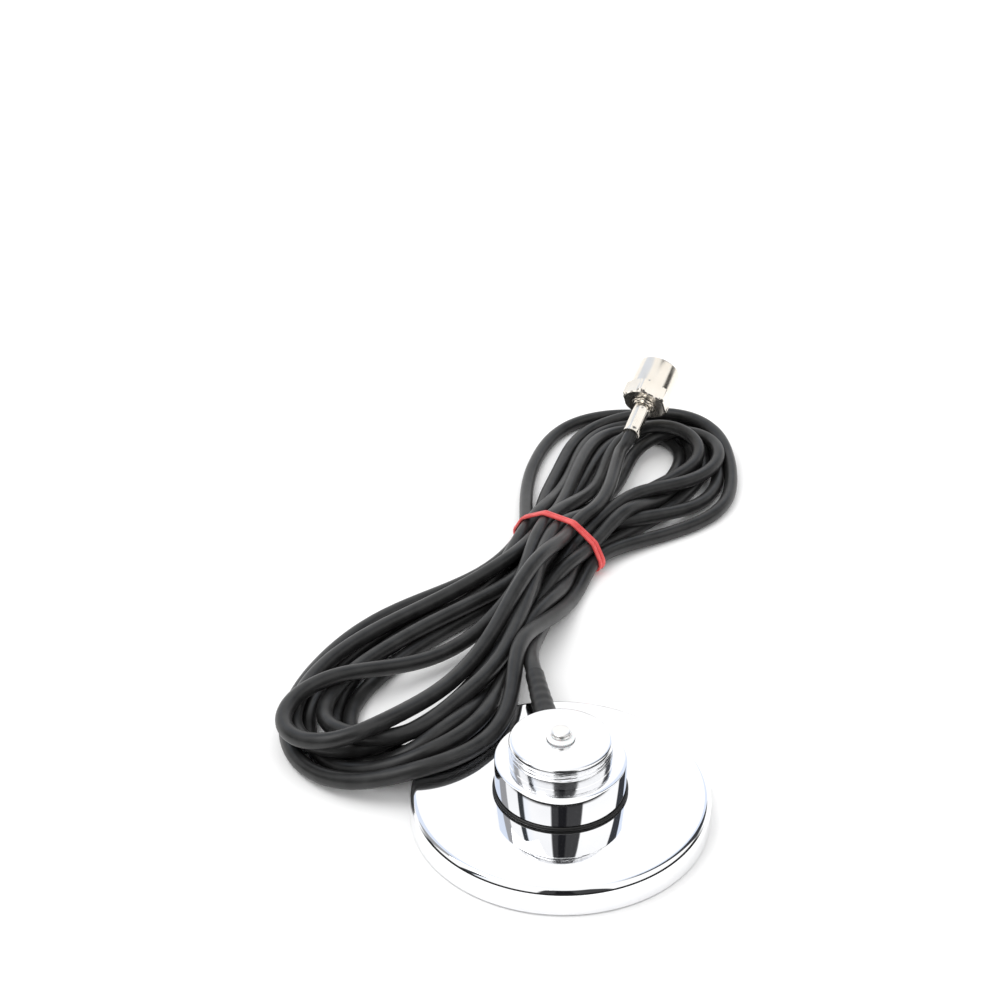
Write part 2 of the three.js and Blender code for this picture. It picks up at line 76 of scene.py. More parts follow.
def add_camera():
    data = bpy.data.cameras.new("camera")
    data.lens = 57.6
    data.sensor_width = 36
    data.clip_start = 0.01
    camera = bpy.data.objects.new("camera", data)
    tilt = Matrix.Rotation(CAMERA_TILT, 4, "X")
    roll = Matrix.Rotation(CAMERA_ROLL, 4, "Z")
    camera.matrix_world = Matrix.Translation(CAMERA_PLACE) @ tilt @ roll
    scene.collection.objects.link(camera)
    scene.camera = camera


# ------------------------------------------------------------------ route of the lead
# from the strain relief down to the floor, beside the front loops
LEAD_ROUTE = [
    (-0.00594, 0.04572, 0.0138), (-0.0065, 0.0505, 0.0135), (-0.0068, 0.056, 0.0123),
    (-0.0067, 0.0615, 0.0107), (-0.0062, 0.067, 0.009), (-0.0054, 0.0725, 0.0073),
    (-0.0043, 0.0783, 0.0058), (-0.0031, 0.084, 0.0046), (-0.0017, 0.0895, 0.0039),
    (-0.0001, 0.095, 0.0036),
]
# on under the front loops to its place in the band
UNDER_ROUTE = [(0.0018, 0.104, 0.0036), (0.002, 0.113, 0.0038), (0.0022, 0.122, 0.0041)]
# from the band, on top of the hank, up to the plug
TAIL_ROUTE = [
    (0.0107, 0.1375, 0.0139), (0.0136, 0.1415, 0.0137), (0.0168, 0.1463, 0.0134),
    (0.0195, 0.1515, 0.0132), (0.0217, 0.157, 0.0131), (0.0236, 0.163, 0.0131),
    (0.0251, 0.1693, 0.0131), (0.0264, 0.1756, 0.0131), (0.0277, 0.182, 0.0131),
    (0.0299, 0.192, 0.0131), (0.0322, 0.1966, 0.0138), (0.03436, 0.20093, 0.01573),
]

WAIST = np.array([0.0045, 0.1365])      # middle of the band in plan
WAIST_TURN = math.radians(51)           # heading of the strands through it
ALONG_WAIST = np.array([math.cos(WAIST_TURN), math.sin(WAIST_TURN)])
ACROSS_WAIST = np.array([math.sin(WAIST_TURN), -math.cos(WAIST_TURN)])
SLOT = 0.00525             # the strands' spacing side by side in the band
LAYER = 0.00435            # and from one layer to the next
LOW_LAYER = 0.0044         # height of the lowest
# place of each turn's strands in the band: steps across, layer
LEFT_SLOTS = [(-3, 0), (-2, 0), (-2.5, 1), (-1, 0), (-1.5, 1), (-0.5, 1), (-1, 2)]
RIGHT_SLOTS = [(0, 0), (3, 0), (2, 0), (1, 0), (2.5, 1), (1.5, 1), (0, 2), (1, 2)]
# each turn's way round behind the band, from its right place to its left one: height of the
# layer it lies in, points in plan on the way out, the fold (centre, radius, from and to which
# angle) and points on the way back; millimetres and degrees
BACK_TURNS = [
    (2.5, [(14, 143), (28, 150), (45, 158), (57, 168), (65, 181), (68, 195)],
     (35, 213, 32.5, -10, 170), [(-3, 200), (-5.5, 183), (-7, 165)]),
    (6, [(26, 136), (40, 146), (54, 154), (65, 165), (70, 179), (71, 193)],
     (42, 212, 28.5, -15, 160), [(8.5, 200), (2, 180), (-3, 161)]),
    (2.6, [(24, 143), (40, 158), (50, 172), (58, 187), (62, 200)],
     (40.5, 214.5, 22, -20, 165), [(14, 201), (8.5, 184), (2, 163)]),
    (2.8, [(18, 148), (29, 161), (40, 175), (49, 189)],
     (40.5, 210, 18, -25, 165), [(20, 201), (14.5, 185), (9, 169), (4, 155)]),
    (7, [(25, 145), (35, 159), (45, 174), (53.5, 188)],
     (40.5, 212.5, 19.5, -25, 165), [(17, 201), (12, 184), (7, 160)]),
    (10, [(19, 149), (33, 160), (48, 172), (60, 183.5)],
     (52.5, 203.5, 18, -25, 165), [(32.5, 194), (27.5, 181), (20, 169), (10, 157)]),
    (11, [(13, 148), (24, 158), (37, 170), (50, 183)],
     (44.5, 203, 18, -30, 165), [(24, 193), (20, 179), (12, 162)]),
]
# and in front of it, from its left place to the next turn's right one
FRONT_TURNS = [
    (2.5, [(-19, 125), (-33, 112), (-50, 100), (-62, 87), (-72, 69), (-78, 53)],
     (-46.5, 37.5, 33, 175, 350), [(-11, 48), (-7, 70), (-1, 90), (8, 111)]),
    (2.5, [(-15, 121), (-31, 106), (-48, 92), (-60, 77), (-69, 62), (-73, 50)],
     (-46.5, 37.5, 27, 175, 350), [(-16, 49), (-11, 71), (-4, 91), (5, 111)]),
    (2.6, [(-18, 113), (-33, 99), (-47, 85), (-58, 68), (-64, 52)],
     (-46.5, 34, 19, 165, 340), [(-22, 46), (-16, 68), (-9, 88), (0, 110)]),
    (2.8, [(-10, 113), (-24, 97), (-38, 83), (-50, 67), (-58, 52)],
     (-45.5, 39.5, 17.5, 165, 340), [(-24, 51), (-20, 64), (-14, 79), (-7, 95), (2, 110)]),
    (7, [(-14, 117), (-30, 104), (-46, 91), (-58, 78), (-69, 63), (-75.5, 49)],
     (-61, 34, 17, 165, 315), [(-38, 33), (-29, 43), (-22, 55), (-16, 70), (-9, 89), (-1, 108)]),
    (7.5, [(-9, 113), (-23, 98), (-37, 85), (-50, 73), (-60, 60), (-66.5, 48)],
     (-51.5, 35, 17.5, 165, 325),
     [(-28, 35), (-20, 47), (-14, 62), (-10, 79), (-6, 97), (-1, 116)]),
    (11, [(-5, 108), (-13, 91), (-25, 78), (-39, 65), (-52, 56), (-64, 50), (-74, 44)],
     (-63, 30, 17.5, 155, 310),
     [(-45, 27), (-37, 38), (-29, 50), (-22, 62), (-15, 77), (-8, 96), (-1, 114)]),
]
FOLD_STEP = 25             # degrees between the points of a fold
LOOP_DESCENT = 0.1         # how far from the band a turn has come down to its layer
BASE_RAMP = 0.02           # length of the ramp by which a turn climbs on to the base
LEAD_HUMP_FLANK = 0.008    # width of the flank of a hump over the lead
LEAD_HUMP_FLANKS = 1.6     # flanks from the lead at which a hump begins
LEAD_HUMP_CLEAR = 1.1      # lift over the lead in cable diameters


def slot_place(slot):
    """Where a strand passes through the band."""
    return np.array([*(WAIST + ACROSS_WAIST * SLOT * slot[0]), LOW_LAYER + LAYER * slot[1]])


def smooth_step(part):
    part = np.clip(part, 0, 1)
    return part * part * (3 - 2 * part)


def fold_points(x, y, radius, start, end):
    """Points along the round end of a turn."""
    angles = np.radians(np.linspace(start, end, round((end - start) / FOLD_STEP) + 1))
    return np.column_stack([x + radius * np.cos(angles), y + radius * np.sin(angles)])


def loop(turn, start, end):
    """One turn's way round, coming down from its places in the band to its own layer."""
    low, going, fold, coming = turn
    low, plan = low * MM, np.vstack([going, fold_points(*fold), coming]) * MM
    out = np.clip(np.hypot(*(plan - WAIST).T) / LOOP_DESCENT, 0, 1)
    first_half = np.arange(len(plan)) < len(plan) / 2
    height = np.where(first_half, start[2], end[2])
    return np.column_stack([plan, low + (height - low) * (1 - out) ** 3])


def over_base(points):
    """Lifts points on to the base where they pass over it."""
    reach = np.hypot(points[:, 0], points[:, 1])
    points[:, 2] += BASE_TOP * smooth_step((BASE_RADIUS + BASE_RAMP - reach) / BASE_RAMP)
    return points


def over_lead(points):
    """Lifts points over the stretch of lead that they cross."""
    lead = np.array(LEAD_ROUTE + UNDER_ROUTE)
    apart = np.hypot(*(points[:, None, :2] - lead[None, :, :2]).transpose(2, 0, 1))
    near = smooth_step(LEAD_HUMP_FLANKS - apart.min(1) / LEAD_HUMP_FLANK)
    lift = near * (lead[apart.argmin(1), 2] + LEAD_HUMP_CLEAR * CABLE)
    points[:, 2] = np.maximum(points[:, 2], lift)
    return points


def hank_route():
    """The whole way of the lead before it settles."""
    points = [np.array(LEAD_ROUTE), np.array(UNDER_ROUTE)]
    for k, (back, front) in enumerate(zip(BACK_TURNS, FRONT_TURNS)):
        right, left, following = (
            slot_place(RIGHT_SLOTS[k]), slot_place(LEFT_SLOTS[k]), slot_place(RIGHT_SLOTS[k + 1]),
        )
        points += [[right], loop(back, right, left), [left]]
        points.append(over_lead(over_base(loop(front, left, following))))
    points += [[slot_place(RIGHT_SLOTS[-1])], np.array(TAIL_ROUTE[1:])]
    return np.vstack(points)


CURVE_STEPS = 24           # steps of the curve between two points


def resample(points, step):
    """A Catmull-Rom curve through the points, in equal steps."""
    ends = np.vstack([2 * points[0] - points[1], points, 2 * points[-1] - points[-2]])
    t = np.linspace(0, 1, CURVE_STEPS, endpoint=False)[:, None]
    fine = []
    for a, b, c, d in zip(ends[:-3], ends[1:-2], ends[2:-1], ends[3:]):
        bend, twist = 2 * a - 5 * b + 4 * c - d, 3 * b - a - 3 * c + d
        fine.append(b + 0.5 * ((c - a) * t + bend * t ** 2 + twist * t ** 3))
    fine = np.vstack(fine + [points[-1:]])
    run = np.concatenate([[0], np.cumsum(np.linalg.norm(np.diff(fine, axis=0), axis=1))])
    at = np.linspace(0, run[-1], int(round(run[-1] / step)) + 1)
    return np.column_stack([np.interp(at, run, fine[:, i]) for i in range(3)])


# ------------------------------------------------------------------ settling of the hank
HOME_STEP = 0.0024         # spacing of the points that settle
LINE_STEP = 0.0012         # spacing of the finished cable's points
# pull of gravity in a round, stiffness of the lead, rounds
FALLS = (0.06 * MM, 40.0, 150), (0.03 * MM, 40.0, 120), (0.02 * MM, 12.0, 200)
EASING = 300.0             # stiffness that eases the route before it settles
EASING_ROUNDS = 200
MEMORY = 0.03              # pull back to the route in plan
CONTACT = 1.006 * CABLE    # distance between the middles of strands that touch
CONTACT_PUSH = 1.6
PAIR_ROUNDS = 10           # rounds between two searches for near strands
PAIR_REACH = CONTACT + 3 * MM
PAIR_SKIP = 12             # neighbours along the cable that aren't pairs
BAND_GRIP = 0.0013         # half of the stretch that the band holds


def near_pairs(points):
    """Pairs of points of different strands that are close together."""
    square = (points * points).sum(1)
    apart = square[:, None] + square[None, :] - 2 * points @ points.T
    first, second = np.nonzero(apart < PAIR_REACH * PAIR_REACH)
    keep = second - first > PAIR_SKIP
    return first[keep], second[keep]


def out_of_base(points, clear):
    """The push that takes points clear of the floor, the rounded disc and the hub."""
    push = np.zeros_like(points)
    push[:, 2] = np.maximum(clear - points[:, 2], 0)
    reach = np.hypot(points[:, 0], points[:, 1]) + 1e-9
    outwards = points[:, :2] / reach[:, None]
    aside = reach - (BASE_RADIUS - BASE_EDGE)
    above = points[:, 2] - (BASE_TOP - BASE_EDGE)
    corner = np.maximum(aside, 0), np.maximum(above, 0)
    gap = np.hypot(*corner)
    room = BASE_EDGE + clear
    on_top = (aside <= 0) & (above < room)
    on_edge = (gap > 0) & (gap < room) & ~on_top
    deep = np.where(on_edge, room - gap, 0) / np.maximum(gap, 1e-9)
    push[:, :2] += (deep * corner[0])[:, None] * outwards
    lift = np.where(on_top, room - above, deep * corner[1])
    push[:, 2] = np.maximum(push[:, 2], lift)
    by_hub = (reach < HUB_RADIUS + clear) & (points[:, 2] < HUB_LEDGE + clear)
    push[:, :2] += np.where(by_hub, HUB_RADIUS + clear - reach, 0)[:, None] * outwards
    return push


def contact_push(points, pairs):
    """The mean push that takes each point clear of the strands that it presses into."""
    first, second = pairs
    away = points[second] - points[first]
    apart = np.linalg.norm(away, axis=1)
    hit = apart < CONTACT
    first, second = first[hit], second[hit]
    push = (0.5 * (CONTACT / apart[hit] - 1))[:, None] * away[hit]
    total = np.zeros_like(points)
    number = np.zeros(len(points))
    np.add.at(total, first, -push)
    np.add.at(total, second, push)
    np.add.at(number, first, 1)
    np.add.at(number, second, 1)
    return total / np.maximum(number, 1)[:, None]


def bending(offset, stiffness):
    """The pull with which a springy wire straightens out an offset."""
    curl = offset[:-2] - 2 * offset[1:-1] + offset[2:]
    pull = np.zeros_like(offset)
    pull[:-2] += curl
    pull[1:-1] -= 2 * curl
    pull[2:] += curl
    return stiffness * pull


def relaxed(offset, pull, free, memory, stiffness, rounds=14):
    """Conjugate gradients on (1 + memory + bending) offset = pull, held points left alone."""
    def spring(x):
        return free * ((1 + memory) * x + bending(x, stiffness))

    rest = free * pull - spring(offset)
    step = rest.copy()
    size = (rest * rest).sum(0)
    for _ in range(rounds):
        turned_by = spring(step)
        rate = size / np.maximum((step * turned_by).sum(0), 1e-30)
        offset = offset + rate * step
        rest = rest - rate * turned_by
        new_size = (rest * rest).sum(0)
        step = rest + new_size / np.maximum(size, 1e-30) * step
        size = new_size
    return offset


def eased(home, held):
    """The same route with its sudden turns eased out between the held points."""
    free = np.where(held, 0.0, 1.0)[:, None]
    pull = -bending(home, EASING)
    return home + relaxed(np.zeros_like(home), pull, free, 0.0, EASING, EASING_ROUNDS)


def settle(home, held):
    """Lets the strands sink on to the floor, the base and each other as a springy wire."""
    free = np.where(held, 0.0, 1.0)[:, None]
    memory = np.array([MEMORY, MEMORY, 0])
    points = home.copy()
    for fall, stiffness, rounds in FALLS:
        straight = bending(home, stiffness) * (0, 0, 1)
        for i in range(rounds):
            if i % PAIR_ROUNDS == 0:
                pairs = near_pairs(points)
            aim = points + CONTACT_PUSH * contact_push(points, pairs)
            aim += out_of_base(aim, CONTACT / 2)
            aim[:, 2] -= fall
            points = home + relaxed(points - home, aim - home - straight, free, memory, stiffness)
    return points


def held_points(home):
    """The un-coiled stretches and the strands inside the band stay where they are."""
    run = np.concatenate([[0], np.cumsum(np.linalg.norm(np.diff(home, axis=0), axis=1))])
    lead, tail = (
        np.linalg.norm(np.diff(np.array(route), axis=0), axis=1).sum()
        for route in (LEAD_ROUTE, TAIL_ROUTE)
    )
    along = (home[:, :2] - WAIST) @ ALONG_WAIST
    across = (home[:, :2] - WAIST) @ ACROSS_WAIST
    in_band = (abs(along) < BAND_GRIP) & (abs(across) < 4 * SLOT)
    return (run < lead) | (run > run[-1] - tail) | in_band


def build_cord():
    """The whole cable as one line: lead, hank and tail, into the ferrule."""
    home = resample(hank_route(), HOME_STEP)
    held = held_points(home)
    line = resample(settle(eased(home, held), held), LINE_STEP)
    in_ferrule = np.array(PLUG_MOUTH + plug_axis() * 3 * MM)
    line = np.vstack([line, in_ferrule])
    curve = bpy.data.curves.new("cable", "CURVE")
    curve.dimensions = "3D"
    curve.bevel_depth = CABLE_RADIUS
    curve.bevel_resolution = 6
    curve.use_fill_caps = True
    spline = curve.splines.new("POLY")
    spline.points.add(len(line) - 1)
    spline.points.foreach_set("co", np.column_stack([line, np.ones(len(line))]).ravel())
    spline.use_smooth = True
    cable = bpy.data.objects.new("cable", curve)
    scene.collection.objects.link(cable)
    return cable


# ------------------------------------------------------------------ frames of the plug and exit
def plug_frame():
    """Place of the plug: its axis along z, the cable's mouth at zero."""
    turn = Matrix.Rotation(math.pi / 2 - PLUG_TURN, 4, "Z")
    rise = Matrix.Rotation(-PLUG_RISE, 4, "Y")
    return Matrix.Translation(PLUG_MOUTH) @ turn @ rise @ Matrix.Rotation(math.pi / 2, 4, "Y")


def plug_axis():
    return plug_frame().to_3x3() @ Vector((0, 0, 1))


def exit_frame():
    """Place of the strain relief: its axis along z, the hub's axis at zero."""
    turn = Matrix.Rotation(math.pi / 2 + EXIT_TURN, 4, "Z")
    return Matrix.Translation((0, 0, EXIT_HEIGHT)) @ turn @ Matrix.Rotation(math.pi / 2, 4, "Y")


# ------------------------------------------------------------------ mesh helpers
def finished(name, verts, faces, sharp=32):
    """A smooth-shaded piece with its edges sharp above an angle in degrees."""
    mesh = bpy.data.meshes.new(name)
    mesh.from_pydata(verts, [], faces)
    mesh.polygons.foreach_set("use_smooth", [True] * len(mesh.polygons))
    mesh.update()
    mesh.set_sharp_from_angle(angle=math.radians(sharp))
    piece = bpy.data.objects.new(name, mesh)
    scene.collection.objects.link(piece)
    return piece


def softened(profile, radius):
    """Rounds each corner of a profile in millimetres with a small curve."""
    closed = profile[0] == profile[-1]
    points = [Vector(p) for p in profile]
    out = [] if closed else [points[0]]
    corners = range(len(points) - 1) if closed else range(1, len(points) - 1)
    for i in corners:
        here = points[i]
        before = points[i - 1] if i else points[-2]
        after = points[i + 1]
        start = here + (before - here) * min(0.4, radius / max((before - here).length, 1e-6))
        end = here + (after - here) * min(0.4, radius / max((after - here).length, 1e-6))
        for t in (0, 0.3, 0.7, 1):
            out.append(start * (1 - t) ** 2 + here * 2 * t * (1 - t) + end * t ** 2)
    out.append(out[0] if closed else points[-1])
    return [tuple(p) for p in out]


def turned(name, profile, place=Matrix.Identity(4), round_by=0.12, segments=SMOOTH_ROUND):
    """A turned piece from (radius, height) pairs in millimetres going up the outside."""
    profile = softened(profile, round_by) if round_by else profile
    closed = profile[0] == profile[-1]
    rows = profile[:-1] if closed else profile
    verts, faces, starts = [], [], []
    for radius, height in rows:
        starts.append(len(verts))
        steps = segments if radius > 1e-6 else 1
        for i in range(steps):
            angle = 2 * math.pi * i / segments
            spot = Vector((radius * math.cos(angle), radius * math.sin(angle), height)) * MM
            verts.append(place @ spot)
    rings = list(zip(range(len(rows)), list(range(1, len(rows))) + ([0] if closed else [])))
    for low, high in rings:
        point_low, point_high = rows[low][0] <= 1e-6, rows[high][0] <= 1e-6
        for i in range(segments):
            j = (i + 1) % segments
            a, b = starts[low] + i, starts[low] + j
            c, d = starts[high] + j, starts[high] + i
            if point_low and point_high:
                continue
            if point_low:
                faces.append((starts[low], c, d))
            elif point_high:
                faces.append((a, b, starts[high]))
            else:
                faces.append((a, b, c, d))
    return finished(name, verts, faces)


def ringed(name, rows, sides, reach, sharp):
    """A closed piece of rings along the plug's axis; reach gives the radius round a ring."""
    place, verts, faces = plug_frame(), [], []
    for row in rows:
        for i in range(sides):
            angle = 2 * math.pi * i / sides
            radius = reach(*row, angle)
            spot = Vector((radius * math.cos(angle), radius * math.sin(angle), row[0])) * MM
            verts.append(place @ spot)
    for r in range(len(rows)):
        for i in range(sides):
            j, low, high = (i + 1) % sides, r * sides, (r + 1) % len(rows) * sides
            faces.append((low + i, low + j, high + j, high + i))
    return finished(name, verts, faces, sharp)


def drilled(piece, *drills):
    """Cuts rods out of a piece."""
    for drill in drills:
        hole = piece.modifiers.new("hole", "BOOLEAN")
        hole.operation = "DIFFERENCE"
        hole.solver = "EXACT"
        hole.object = drill
    depsgraph = bpy.context.evaluated_depsgraph_get()
    mesh = bpy.data.meshes.new_from_object(piece.evaluated_get(depsgraph))
    mesh.name = piece.name
    mesh.set_sharp_from_angle(angle=math.radians(28))
    piece.modifiers.clear()
    piece.data = mesh
    for drill in drills:
        bpy.data.objects.remove(drill)
    return piece


# ------------------------------------------------------------------ magnet base and hub
def build_base_shell():
    inner, ceiling, foot = 40.1, 7.1, 0.4
    edge = BASE_EDGE / MM
    radius, top = BASE_RADIUS / MM, BASE_TOP / MM
    arc = []
    for i in range(17):
        angle = math.pi / 2 * i / 16
        arc.append((radius - edge + edge * math.cos(angle), top - edge + edge * math.sin(angle)))
    profile = [(0, ceiling), (inner - 1, ceiling), (inner, ceiling - 1), (inner, foot)]
    profile += [(radius - 0.25, foot), (radius, foot + 0.25), *arc, (0, top)]
    shell = turned("chrome_base", profile, round_by=0)
    return drilled(shell, *(rod("drill", SCREW_HOLE, 6, 10, x, y) for x, y in SCREW_SPOTS))


def rod(name, radius, low, high, x=0, y=0, place=Matrix.Identity(4)):
    """A round drill between two heights."""
    place = place @ Matrix.Translation((x * MM, y * MM, 0))
    profile = [(0, low), (radius, low), (radius, high), (0, high)]
    return turned(name, profile, place, round_by=0, segments=64)


def build_hub():
    """The drum and its boss, whose rows of points are drawn out into a helical thread."""
    root, tip, pitch = 13.55, 14.05, 1.1
    low, high, row, run_out = 21.3, 24.15, 0.05, 0.4
    profile = [(9.5, 8.6), (16.8, 8.6), (16.8, 9.35), (18, 9.65), (18, 18.2), (17.9, 18.48)]
    profile += [(17.62, 18.6), (14.3, 18.6), (14.15, 18.75), (14.15, low)]
    rows = [low + row + row * i for i in range(int((high - low) / row))]
    profile += [(root, height) for height in rows]
    profile += [(14.1, high + row), (14.1, 24.2), (13.9, 24.62), (13.6, 24.88), (13.1, 25)]
    profile += [(3.9, 25), (3.9, 20), (9.5, 20), (9.5, 8.6)]
    hub = turned("threaded_hub", profile, round_by=0, segments=256)
    for vertex in hub.data.vertices:
        radius = math.hypot(vertex.co.x, vertex.co.y) / MM
        height = vertex.co.z / MM
        if abs(radius - root) < 0.01 and low < height < high:
            turn = math.atan2(vertex.co.y, vertex.co.x) / (2 * math.pi)
            phase = (height / pitch - turn) % 1
            crest = min(1, max(0, 1.7 - 4.2 * abs(phase - 0.5)))
            fade = min(1, (height - low) / run_out)
            grown = (root + (tip - root) * max(crest, 1 - fade)) / radius
            vertex.co.x *= grown
            vertex.co.y *= grown
    out = exit_frame()
    bore = rod("bore", 3.1, 4.75, 15, place=out)
    boot_bore = rod("boot_bore", 3.75, 14, 19, place=out)
    screws = [rod("screw_hole", SCREW_HOLE, 7.6, 14.9, x, y) for x, y in SCREW_SPOTS]
    return drilled(hub, bore, boot_bore, *screws)


def build_o_ring():
    centre, radius, height = 18.1, 0.54, 8.86
    section = [
        (centre + radius * math.cos(a), height + radius * math.sin(a))
        for a in (2 * math.pi * i / 20 - math.pi / 2 for i in range(21))
    ]
    section[-1] = section[0]
    return turned("rubber_o_ring", section, round_by=0)


def build_contact():
    """The insulating collar on the boss and the pin in it."""
    collar = turned("white_collar", [
        (1.4, 18.5), (3.6, 18.5), (3.6, 25.3), (3.85, 25.3), (3.85, 25.6), (2.9, 26.1),
        (1.4, 26.1), (1.4, 18.5),
    ], segments=96)
    pin = turned("centre_contact", [
        (0, 12.5), (1.1, 12.5), (1.1, 26.4), (2.75, 26.4), (2.75, 27.2), (2.6, 27.5),
        (2.2, 27.66), (0, 27.7),
    ], segments=96)
    return collar, pin


def build_boot():
    """A slim tapered boot with shallow flexing grooves towards its tip."""
    profile = [(2.775, 14.6), (3.45, 14.6), (3.45, 22)]
    for i in range(1, 49):
        part = i / 48
        depth = 0.14 * (1 + math.cos(2 * math.pi * part * 6)) / 2
        groove = depth * smooth_step(4 * part * (1 - part))
        profile.append((3.45 - 0.6 * smooth_step(part) - groove, 22 + 23.8 * part))
    profile += [(2.775, 45.8), (2.775, 14.6)]
    return turned("strain_relief", profile, exit_frame(), round_by=0, segments=64)


# ------------------------------------------------------------------ plug
def build_ferrule():
    """A tube crimped to a hexagon, with a round flared mouth where the cable goes in."""
    # height, radius, share of the hexagon
    rows = [(0.1, 3.1, 0), (0.25, 3.3, 0), (0.7, 3.3, 0), (1.5, 3.12, 0.2), (2.4, 3.08, 1),
            (10.4, 3.08, 1), (11.2, 3.15, 0.2), (12.2, 3.25, 0), (12.5, 3.1, 0),
            (12.5, 2.5, 0), (0.1, 2.5, 0)]

    def reach(height, radius, hexed, angle):
        flat = math.cos(math.pi / 6) / math.cos((angle % (math.pi / 3)) - math.pi / 6)
        return radius * (1 - hexed + hexed * min(flat * 1.07, 1.04))

    return ringed("crimped_ferrule", rows, 96, reach, sharp=50)


def build_plug_body():
    return turned("plug_shell", [
        (1.475, 0.3), (2.175, 0.3), (2.175, 12.8), (3.9, 12.8), (3.9, 13.7), (4.6, 13.7),
        (4.6, 16.7), (3.9, 16.7), (3.9, 18.1), (6.05, 18.1), (6.05, 20.1), (4.1, 20.1),
        (4.1, 29.3), (3.35, 29.3), (3.35, 19.7), (1.475, 19.7), (1.475, 0.3),
    ], plug_frame(), segments=96)


def washer(name, inner, outer, low, high):
    profile = [(inner, low), (outer, low), (outer, high), (inner, high), (inner, low)]
    return turned(name, profile, plug_frame(), segments=96)


def build_plug_pin():
    return turned("plug_contact", [
        (0, 2), (0.7, 2), (0.7, 28.1), (0.3, 28.9), (0, 28.9),
    ], plug_frame(), segments=48)


def build_coupling_nut():
    """Round barrel, a hexagon with turned corners at its rear, and a thread inside."""
    half_flat, corner, hex_end, barrel = 8.3, 9.5, 20.4, 8.15
    thread_root, thread_height, pitch = 6.65, 0.4, 0.94
    rows = [(14.2, 4.9), (14.2, 8.0), (14.6, 8.7), (15.1, 9.6), (19.0, 9.6), (19.9, 9.4),
            (hex_end, 8.6), (hex_end, barrel), (20.5, barrel), (31.2, barrel), (31.45, 8.08),
            (31.62, 7.9), (31.7, 7.65), (31.7, 7.1), (31.3, 6.75)]
    steps = 120
    rows += [(31.2 - 12.6 * i / steps, None) for i in range(steps + 1)]
    rows += [(18.4, thread_root), (16.4, thread_root), (16.4, 4.9)]

    def reach(height, radius, angle):
        if radius is None:
            phase = (height / pitch - angle / (2 * math.pi)) % 1
            return thread_root + thread_height * min(1, max(0, 1.5 - 4 * abs(phase - 0.5)))
        if height <= hex_end and radius > barrel:
            flat = half_flat / math.cos((angle % (math.pi / 3)) - math.pi / 6)
            return min(flat, radius, corner)
        return radius

    return ringed("coupling_nut_shell", rows, 240, reach, sharp=24)


# ------------------------------------------------------------------ rubber band
BAND_WIDTH = 0.0015
BAND_THICKNESS = 0.0011
BAND_RUNS = (-0.00074, 0.00074)         # where its two runs lie along the bundle
BAND_SWAY = 0.00025
BAND_POINTS = 240                       # points round the bundle
BAND_SIDES = 12                         # and round the rubber
BAND_SQUARENESS = 0.7                   # 1 is an oval section, less a squarer one


def around_bundle(clear):
    """The closed line that a band takes round the strands, clear of their middles."""
    steps = 48
    slots = sorted(set(LEFT_SLOTS + RIGHT_SLOTS))
    spots = [np.round([SLOT * across, LOW_LAYER + LAYER * up], 6) for across, up in slots]
    ring = sorted(
        (x + clear * math.cos(a), z + clear * math.sin(a))
        for x, z in spots for a in (2 * math.pi * i / steps for i in range(steps))
    )
    hull = []
    for side in (ring, ring[::-1]):
        part = []
        for p in side:
            while len(part) > 1 and turn_of(part[-2], part[-1], p) <= 0:
                part.pop()
            part.append(p)
        hull += part[:-1]
    hull = np.array(hull + hull[:1])
    run = np.concatenate([[0], np.cumsum(np.linalg.norm(np.diff(hull, axis=0), axis=1))])
    at = np.linspace(0, run[-1], BAND_POINTS + 1)[:-1]
    return np.column_stack([np.interp(at, run, hull[:, i]) for i in range(2)])


def turn_of(a, b, c):
    """Above zero where the way from a over b to c turns left."""
    return (b[0] - a[0]) * (c[1] - a[1]) - (b[1] - a[1]) * (c[0] - a[0])


def squared(value):
    return math.copysign(abs(value) ** BAND_SQUARENESS, value)


def build_band():
    """Two runs of one thin rubber band, side by side round the bundle."""
    line = around_bundle(CABLE_RADIUS + BAND_THICKNESS / 2)
    verts, faces = [], []
    count, sides = BAND_POINTS, BAND_SIDES
    ahead = np.roll(line, -1, 0) - np.roll(line, 1, 0)
    normal = np.column_stack([ahead[:, 1], -ahead[:, 0]]) / np.linalg.norm(ahead, axis=1)[:, None]
    for strand, shift in enumerate(BAND_RUNS):
        base = len(verts)
        for i, (spot, out) in enumerate(zip(line, normal)):
            sway = shift + BAND_SWAY * math.sin(2 * (2 * math.pi * i / count) + strand)
            for k in range(sides):
                a = 2 * math.pi * k / sides
                side = sway + BAND_WIDTH / 2 * squared(math.cos(a))
                up = BAND_THICKNESS / 2 * squared(math.sin(a))
                plan = WAIST + ACROSS_WAIST * (spot[0] + out[0] * up) + ALONG_WAIST * side
                verts.append((plan[0], plan[1], spot[1] + out[1] * up))
        for i in range(count):
            for k in range(sides):
                j, m = (i + 1) % count, (k + 1) % sides
                faces.append((
                    base + i * sides + k, base + i * sides + m,
                    base + j * sides + m, base + j * sides + k,
                ))
    return finished("red_band", verts, faces, sharp=60)


# ------------------------------------------------------------------ materials
def links(tree):
    """A function that joins a node's output to another's input by their names."""
    def join(source, socket, target, name):
        tree.links.new(source.outputs[socket], target.inputs[name])
    return join


